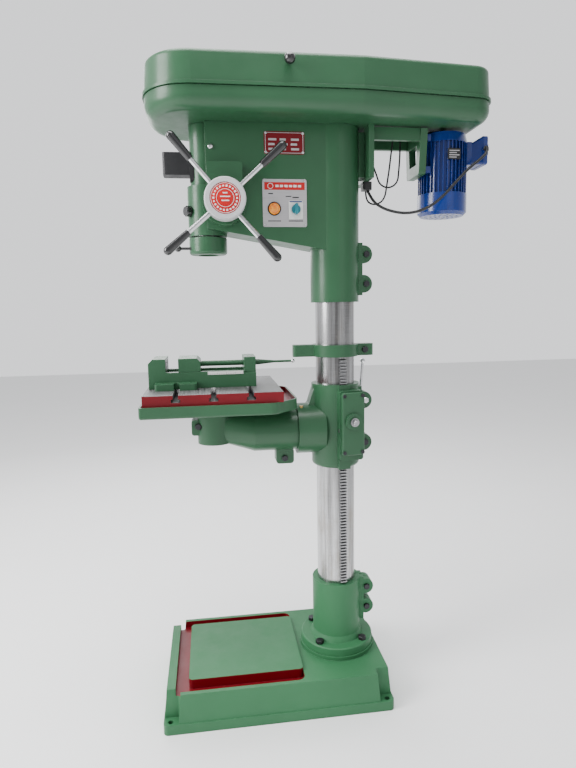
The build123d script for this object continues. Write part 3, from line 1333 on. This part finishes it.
with BuildPart() as fan_cover:
    with BuildSketch(Plane(origin=(0, MOTOR_Y, MOTOR_BOTTOM))):
        Circle(MOTOR_R + 1)
    extrude(amount=MOTOR_SEAM - MOTOR_BOTTOM)
    chamfer(fan_cover.faces().sort_by(Axis.Z)[0].edges(), 9)
    with BuildSketch(Plane(origin=(0, MOTOR_Y, MOTOR_BOTTOM + 2.5))):
        Circle(FIN_ROOT_R - 4)
    extrude(amount=MOTOR_SEAM, mode=Mode.SUBTRACT)
    with BuildSketch(Plane(origin=(0, MOTOR_Y, MOTOR_SEAM - 12))):
        Circle(MOTOR_R - 1.5)
    extrude(amount=20, mode=Mode.SUBTRACT)
    with BuildSketch(Plane(origin=(0, MOTOR_Y, MOTOR_BOTTOM))):
        for ring in range(3):
            with PolarLocations(18 + 14 * ring, 8 + 4 * ring):
                Circle(3.6)
    extrude(amount=5, mode=Mode.SUBTRACT)
export(fan_cover, "fan_cover")

with BuildPart() as motor_rotor:
    with BuildSketch(Plane(origin=(0, MOTOR_Y, MOTOR_BOTTOM + 12))):
        Circle(MOTOR_SHAFT_R)
    extrude(amount=STEP_Z + 4 * STEP_HEIGHT + 4 - MOTOR_BOTTOM - 12)
    with BuildSketch(Plane(origin=(0, MOTOR_Y, 1525))):
        Circle(STATOR_INNER_R - 0.5)
    extrude(amount=100)
    with BuildSketch(Plane(origin=(0, MOTOR_Y, MOTOR_BOTTOM + 16))):
        Circle(16)
        with PolarLocations(32, 7):
            Rectangle(40, 3)
    extrude(amount=26)
export(motor_rotor, "motor_rotor")

TERMINAL_Y = 448.0
TERMINAL_HALF = 42.0
# motor lead: out of the terminal box, round the near side of the motor, up into the head's gland
NUB_TIP = 50.0
CABLE_ROUTE = [
    (52.3, 436, 1622),
    (80, 428, 1605),
    (94, 402, 1583),
    (95, 366, 1556),
    (93, 332, 1522),
    (91, 300, 1486),
    (86, 267, 1458),
    (76, 233, 1442),
    (63, 199, 1437),
    (49, 165, 1443),
    (35, 134, 1456),
    (22, 108, 1478),
    (14, 96, 1508.4),
]
with BuildPart() as terminal_box:
    with BuildSketch(Plane.XZ.offset(-MOTOR_Y - FIN_ROOT_R - 14)):
        with Locations((0, 1612)):
            RectangleRounded(62, 60, 6)
    with BuildSketch(Plane.XZ.offset(-TERMINAL_Y + 14)):
        with Locations((0, 1620)):
            RectangleRounded(82, 78, 6)
    loft()
    with BuildSketch(Plane.XZ.offset(-TERMINAL_Y + 14)):
        with Locations((0, 1620)):
            RectangleRounded(84, 80, 7)
    extrude(amount=-14)
    chamfer(terminal_box.faces().sort_by(Axis.Y)[-1].edges(), 2)
    with BuildSketch(Plane.YZ.offset(TERMINAL_HALF)):
        with Locations((CABLE_ROUTE[0][1], CABLE_ROUTE[0][2])):
            Circle(CORD_R + 4)
    extrude(amount=NUB_TIP - TERMINAL_HALF)
    with BuildSketch(Plane.YZ.offset(TERMINAL_HALF - 20)):
        with Locations((CABLE_ROUTE[0][1], CABLE_ROUTE[0][2])):
            Rectangle(30, 30)
    extrude(amount=15)
export(terminal_box, "terminal_box")

# ---- feed: pinion shaft, bush, hub, spokes, grips and the return spring in its cap ----
SHAFT_LEFT = -96.0
HUB_X = (112.0, 152.0)
BUSH_START = 23.0
with BuildPart() as feed_shaft:
    with BuildSketch(Plane.YZ.offset(SHAFT_LEFT)):
        with Locations((FEED_Y, FEED_Z)):
            Circle(FEED_SHAFT_R)
    extrude(amount=HUB_X[1] - 12 - SHAFT_LEFT)
    with BuildSketch(Plane.YZ.offset(-10)):
        with Locations(Location((FEED_Y, FEED_Z, 0), (0, 0, 180))):
            Polygon(*gear_outline(QUILL_MODULE, PINION_TEETH, 2.0, 2.9, 25, 0.5), align=None)
    extrude(amount=20)
export(feed_shaft, "feed_shaft")

with BuildPart() as feed_bush:
    with BuildSketch(Plane.YZ.offset(BUSH_START)):
        with Locations((FEED_Y, FEED_Z)):
            Circle(FEED_BORE_R)
            Circle(FEED_SHAFT_R + RUN, mode=Mode.SUBTRACT)
    extrude(amount=PAD_FACE - BUSH_START)
    with BuildSketch(Plane.YZ.offset(PAD_FACE)):
        with Locations((FEED_Y, FEED_Z)):
            Circle(48)
            Circle(FEED_SHAFT_R + RUN, mode=Mode.SUBTRACT)
    extrude(amount=HUB_X[0] - PAD_FACE - 1)
export(feed_bush, "feed_bush")

spoke_x = (HUB_X[0] + HUB_X[1]) / 2 - 4
RAKE = 6.0
spoke_from = 30.0
GRIP_FROM = 130.0
with BuildPart() as feed_hub:
    with BuildSketch(Plane.YZ.offset(HUB_X[0])):
        with Locations((FEED_Y, FEED_Z)):
            Circle(HUB_R)
    extrude(amount=HUB_X[1] - HUB_X[0])
    fillet(feed_hub.faces().sort_by(Axis.X)[-1].edges(), 4)
    with BuildSketch(Plane.YZ.offset(HUB_X[1] - 2)):
        with Locations((FEED_Y, FEED_Z)):
            Circle(HUB_R - 14)
    extrude(amount=4, mode=Mode.SUBTRACT)
    with BuildSketch(Plane.YZ.offset(HUB_X[0])):
        with Locations((FEED_Y, FEED_Z)):
            Circle(FEED_SHAFT_R)
    extrude(amount=HUB_X[1] - HUB_X[0] - 12, mode=Mode.SUBTRACT)
    for index in range(4):
        turn = radians(SPOKE_ANGLE + 90 * index)
        way = Vector(sin(radians(RAKE)), cos(turn) * cos(radians(RAKE)), sin(turn) * cos(radians(RAKE)))
        with BuildSketch(Plane(origin=Vector(spoke_x, FEED_Y, FEED_Z) + way * spoke_from, z_dir=way)):
            Circle(SPOKE_R)
        extrude(amount=HUB_R, mode=Mode.SUBTRACT)
export(feed_hub, "feed_hub")

with BuildPart() as feed_spokes:
    for index in range(4):
        turn = radians(SPOKE_ANGLE + 90 * index)
        way = Vector(sin(radians(RAKE)), cos(turn) * cos(radians(RAKE)), sin(turn) * cos(radians(RAKE)))
        with BuildSketch(Plane(origin=Vector(spoke_x, FEED_Y, FEED_Z) + way * spoke_from, z_dir=way)):
            Circle(SPOKE_R)
        extrude(amount=SPOKE_REACH - 12 - spoke_from)
export(feed_spokes, "feed_spokes")

with BuildPart() as feed_grips:
    for index in range(4):
        turn = radians(SPOKE_ANGLE + 90 * index)
        way = Vector(sin(radians(RAKE)), cos(turn) * cos(radians(RAKE)), sin(turn) * cos(radians(RAKE)))
        middle = Vector(spoke_x, FEED_Y, FEED_Z)
        with BuildSketch(Plane(origin=middle + way * GRIP_FROM, z_dir=way)):
            Circle(9.5)
        with BuildSketch(Plane(origin=middle + way * (SPOKE_REACH - 10), z_dir=way)):
            Circle(12)
        loft()
        with Locations(middle + way * (SPOKE_REACH - 10.5)):
            Sphere(11.9)
        with BuildSketch(Plane(origin=middle + way * GRIP_FROM, z_dir=way)):
            Circle(SPOKE_R)
        extrude(amount=SPOKE_REACH - 12 - GRIP_FROM, mode=Mode.SUBTRACT)
export(feed_grips, "feed_grips")

CAP_R = 38.0
CAP_FACE = -94.0
with BuildPart() as spring_cap:
    with BuildSketch(Plane.YZ.offset(-HEAD_HALF)):
        with Locations((FEED_Y, FEED_Z)):
            Circle(CAP_R)
    extrude(amount=CAP_FACE + HEAD_HALF)
    with BuildSketch(Plane.YZ.offset(-HEAD_HALF)):
        with Locations((FEED_Y, FEED_Z)):
            Circle(CAP_R - 4)
    extrude(amount=CAP_FACE + HEAD_HALF + 4, mode=Mode.SUBTRACT)
    with BuildSketch(Plane.YZ.offset(-HEAD_HALF)):
        with Locations((FEED_Y, FEED_Z)):
            Circle(FEED_SHAFT_R + RUN)
    extrude(amount=CAP_FACE, mode=Mode.SUBTRACT)
export(spring_cap, "spring_cap")

SPRING_TURNS = 5
SPRING_IN = FEED_SHAFT_R + 0.6
SPRING_OUT = CAP_R - 5.4
spiral_steps = SPRING_TURNS * 24
spiral = []
for step in range(spiral_steps + 1):
    share = step / spiral_steps
    r = SPRING_IN + (SPRING_OUT - SPRING_IN) * share
    a = 2 * pi * SPRING_TURNS * share
    spiral.append((FEED_Y + r * cos(a), FEED_Z + r * sin(a)))
outer_edge = []
for step in range(spiral_steps + 1):
    share = step / spiral_steps
    r = SPRING_IN + (SPRING_OUT - SPRING_IN) * share + 1.0
    a = 2 * pi * SPRING_TURNS * share
    outer_edge.append((FEED_Y + r * cos(a), FEED_Z + r * sin(a)))
with BuildPart() as return_spring:
    with BuildSketch(Plane.YZ.offset(-HEAD_HALF - 4)):
        with BuildLine():
            Polyline(*spiral, *reversed(outer_edge), close=True)
        make_face()
    extrude(amount=-20)
export(return_spring, "return_spring")

with BuildPart() as quill_lock:
    with BuildSketch(Plane(origin=Vector(0, SPINDLE_Y, LOCK_Z) + lock_way * (QUILL_R + 0.6),
                           z_dir=lock_way)):
        Circle(M12_R)
    extrude(amount=24)
    with BuildSketch(Plane(origin=Vector(0, SPINDLE_Y, LOCK_Z) + lock_way * (HOUSING_R + 0.8),
                           z_dir=lock_way)):
        Circle(15)
    extrude(amount=15)
    chamfer(quill_lock.faces().sort_by(Axis((0, 0, 0), tuple(lock_way)))[-1].edges(), 3)
export(quill_lock, "quill_lock")

# ---- black stepped block on the nose of the head, open on top ----
nose_y = SPINDLE_Y - UPPER_HOUSING_R
with BuildPart() as nose_block:
    with BuildSketch(Plane.XY.offset(1543)):
        with Locations((0, nose_y - 31)):
            RectangleRounded(46, 84, 8)
    extrude(amount=60)
    with BuildSketch(Plane.XZ.offset(-nose_y - 12)):
        with Locations((0, 1556)):
            RectangleRounded(64, 62, 10)
    extrude(amount=12)
    with BuildSketch(Plane.XY.offset(1500)):
        with Locations((0, SPINDLE_Y)):
            Circle(UPPER_HOUSING_R)
    extrude(amount=200, mode=Mode.SUBTRACT)
    with BuildSketch(Plane.XY.offset(1558)):
        with Locations((0, nose_y - 37)):
            RectangleRounded(30, 56, 5)
    extrude(amount=60, mode=Mode.SUBTRACT)
export(nose_block, "nose_block")

# ---- plates, lamp and selector on the side of the head ----
CONTROL = (-152.5, 1463.0, 123.0, 128.0)
NAMEPLATE = (-151.5, 1622.0, 111.0, 59.0)
SHEET_PLATE = 1.5
RIVET_R = 2.4
LAMP = (-182.0, 1448.0)
SELECTOR = (-122.0, 1446.0)
plate_face = HEAD_HALF + SHEET_PLATE
with BuildPart() as side_plates:
    with BuildSketch(Plane.YZ.offset(HEAD_HALF)):
        with Locations(CONTROL[:2]):
            RectangleRounded(CONTROL[2], CONTROL[3], 5)
        with Locations(LAMP):
            Circle(11 + GAP, mode=Mode.SUBTRACT)
        with Locations(SELECTOR):
            Circle(7 + GAP, mode=Mode.SUBTRACT)
        with Locations(CONTROL[:2]):
            with GridLocations(CONTROL[2] - 10, CONTROL[3] - 10, 2, 2):
                Circle(RIVET_R, mode=Mode.SUBTRACT)
    extrude(amount=SHEET_PLATE)
    with BuildSketch(Plane.YZ.offset(plate_face)):
        with Locations((SELECTOR[0], SELECTOR[1] - 1)):
            RectangleRounded(40, 50, 2)
        with Locations(SELECTOR):
            Circle(7 + GAP, mode=Mode.SUBTRACT)
    extrude(amount=SHEET_PLATE)
    with BuildSketch(Plane.YZ.offset(HEAD_HALF)):
        with Locations(NAMEPLATE[:2]):
            RectangleRounded(NAMEPLATE[2], NAMEPLATE[3], 4)
            with GridLocations(NAMEPLATE[2] - 9, NAMEPLATE[3] - 9, 2, 2):
                Circle(RIVET_R, mode=Mode.SUBTRACT)
    extrude(amount=SHEET_PLATE)
export(side_plates, "side_plates")

with BuildPart() as plate_rivets:
    with BuildSketch(Plane.YZ.offset(HEAD_HALF)):
        with Locations(CONTROL[:2]):
            with GridLocations(CONTROL[2] - 10, CONTROL[3] - 10, 2, 2):
                Circle(RIVET_R - RUN)
        with Locations(NAMEPLATE[:2]):
            with GridLocations(NAMEPLATE[2] - 9, NAMEPLATE[3] - 9, 2, 2):
                Circle(RIVET_R - RUN)
    extrude(amount=SHEET_PLATE)
    with BuildSketch(Plane.YZ.offset(plate_face)):
        with Locations(CONTROL[:2]):
            with GridLocations(CONTROL[2] - 10, CONTROL[3] - 10, 2, 2):
                Circle(RIVET_R + 1)
        with Locations(NAMEPLATE[:2]):
            with GridLocations(NAMEPLATE[2] - 9, NAMEPLATE[3] - 9, 2, 2):
                Circle(RIVET_R + 1)
    extrude(amount=1.2)
export(plate_rivets, "plate_rivets")

with BuildPart() as lamp:
    with BuildSketch(Plane.YZ.offset(HEAD_HALF - 10)):
        with Locations(LAMP):
            Circle(11)
    extrude(amount=SHEET_PLATE + 10)
    with BuildSketch(Plane.YZ.offset(plate_face)):
        with Locations(LAMP):
            Circle(16.5)
    extrude(amount=5, taper=20)
    with BuildSketch(Plane.YZ.offset(plate_face)):
        with Locations(LAMP):
            Circle(11)
    extrude(amount=9)
    fillet(lamp.faces().sort_by(Axis.X)[-1].edges(), 3)
export(lamp, "lamp")

with BuildPart() as selector_knob:
    with BuildSketch(Plane.YZ.offset(HEAD_HALF - 10)):
        with Locations(SELECTOR):
            Circle(4)
    extrude(amount=SHEET_PLATE + 14)
    with BuildSketch(Plane.YZ.offset(plate_face + 1.5 + GAP)):
        with Locations(SELECTOR):
            Circle(12.5)
    extrude(amount=5)
    with BuildSketch(Plane.YZ.offset(plate_face + 1.5 + GAP)):
        with Locations(SELECTOR):
            SlotOverall(30, 9, rotation=90)
    extrude(amount=16)
export(selector_knob, "selector_knob")

# ---- leads: motor lead, the two guard-switch leads, and the glands that hold them ----
GLAND_Z = 1510.0
GLAND_Y = 94.0
LONG_LEAD = [
    (4, 197, 1674.6),
    (9, 194, 1640),
    (14, 192, 1603),
    (15, 189, 1565),
    (14, 186, 1530),
    (3, 162, 1516),
    (-8, 138, 1530),
    (-13, 130, 1560),
    (-10, 116, 1590),
    (-7, 98.9, 1604),
]
SHORT_LEAD = [
    (22, 172, 1674.6),
    (27, 166, 1640),
    (30, 160, 1604),
    (30, 156, 1568),
    (28, 150, 1525),
    (24, 144, 1481),
    (10, 120, 1467),
    (-4, 96, 1481),
    (-5, 96, 1508),
]
GLAND = (36.0, 26.0)
with BuildPart() as cable_gland:
    with BuildSketch(Plane.XY.offset(GLAND_Z)):
        with Locations((4, GLAND_Y + 1)):
            RectangleRounded(GLAND[0], GLAND[1], 6)
    extrude(amount=BRACKET_LOW - GLAND_Z)
export(cable_gland, "cable_gland")
motor_cable = cable(CABLE_ROUTE, CORD_R)
export(motor_cable, "motor_cable")
long_lead = cable(LONG_LEAD, LEAD_R)
export(long_lead, "long_lead")
short_lead = cable(SHORT_LEAD, LEAD_R)
export(short_lead, "short_lead")
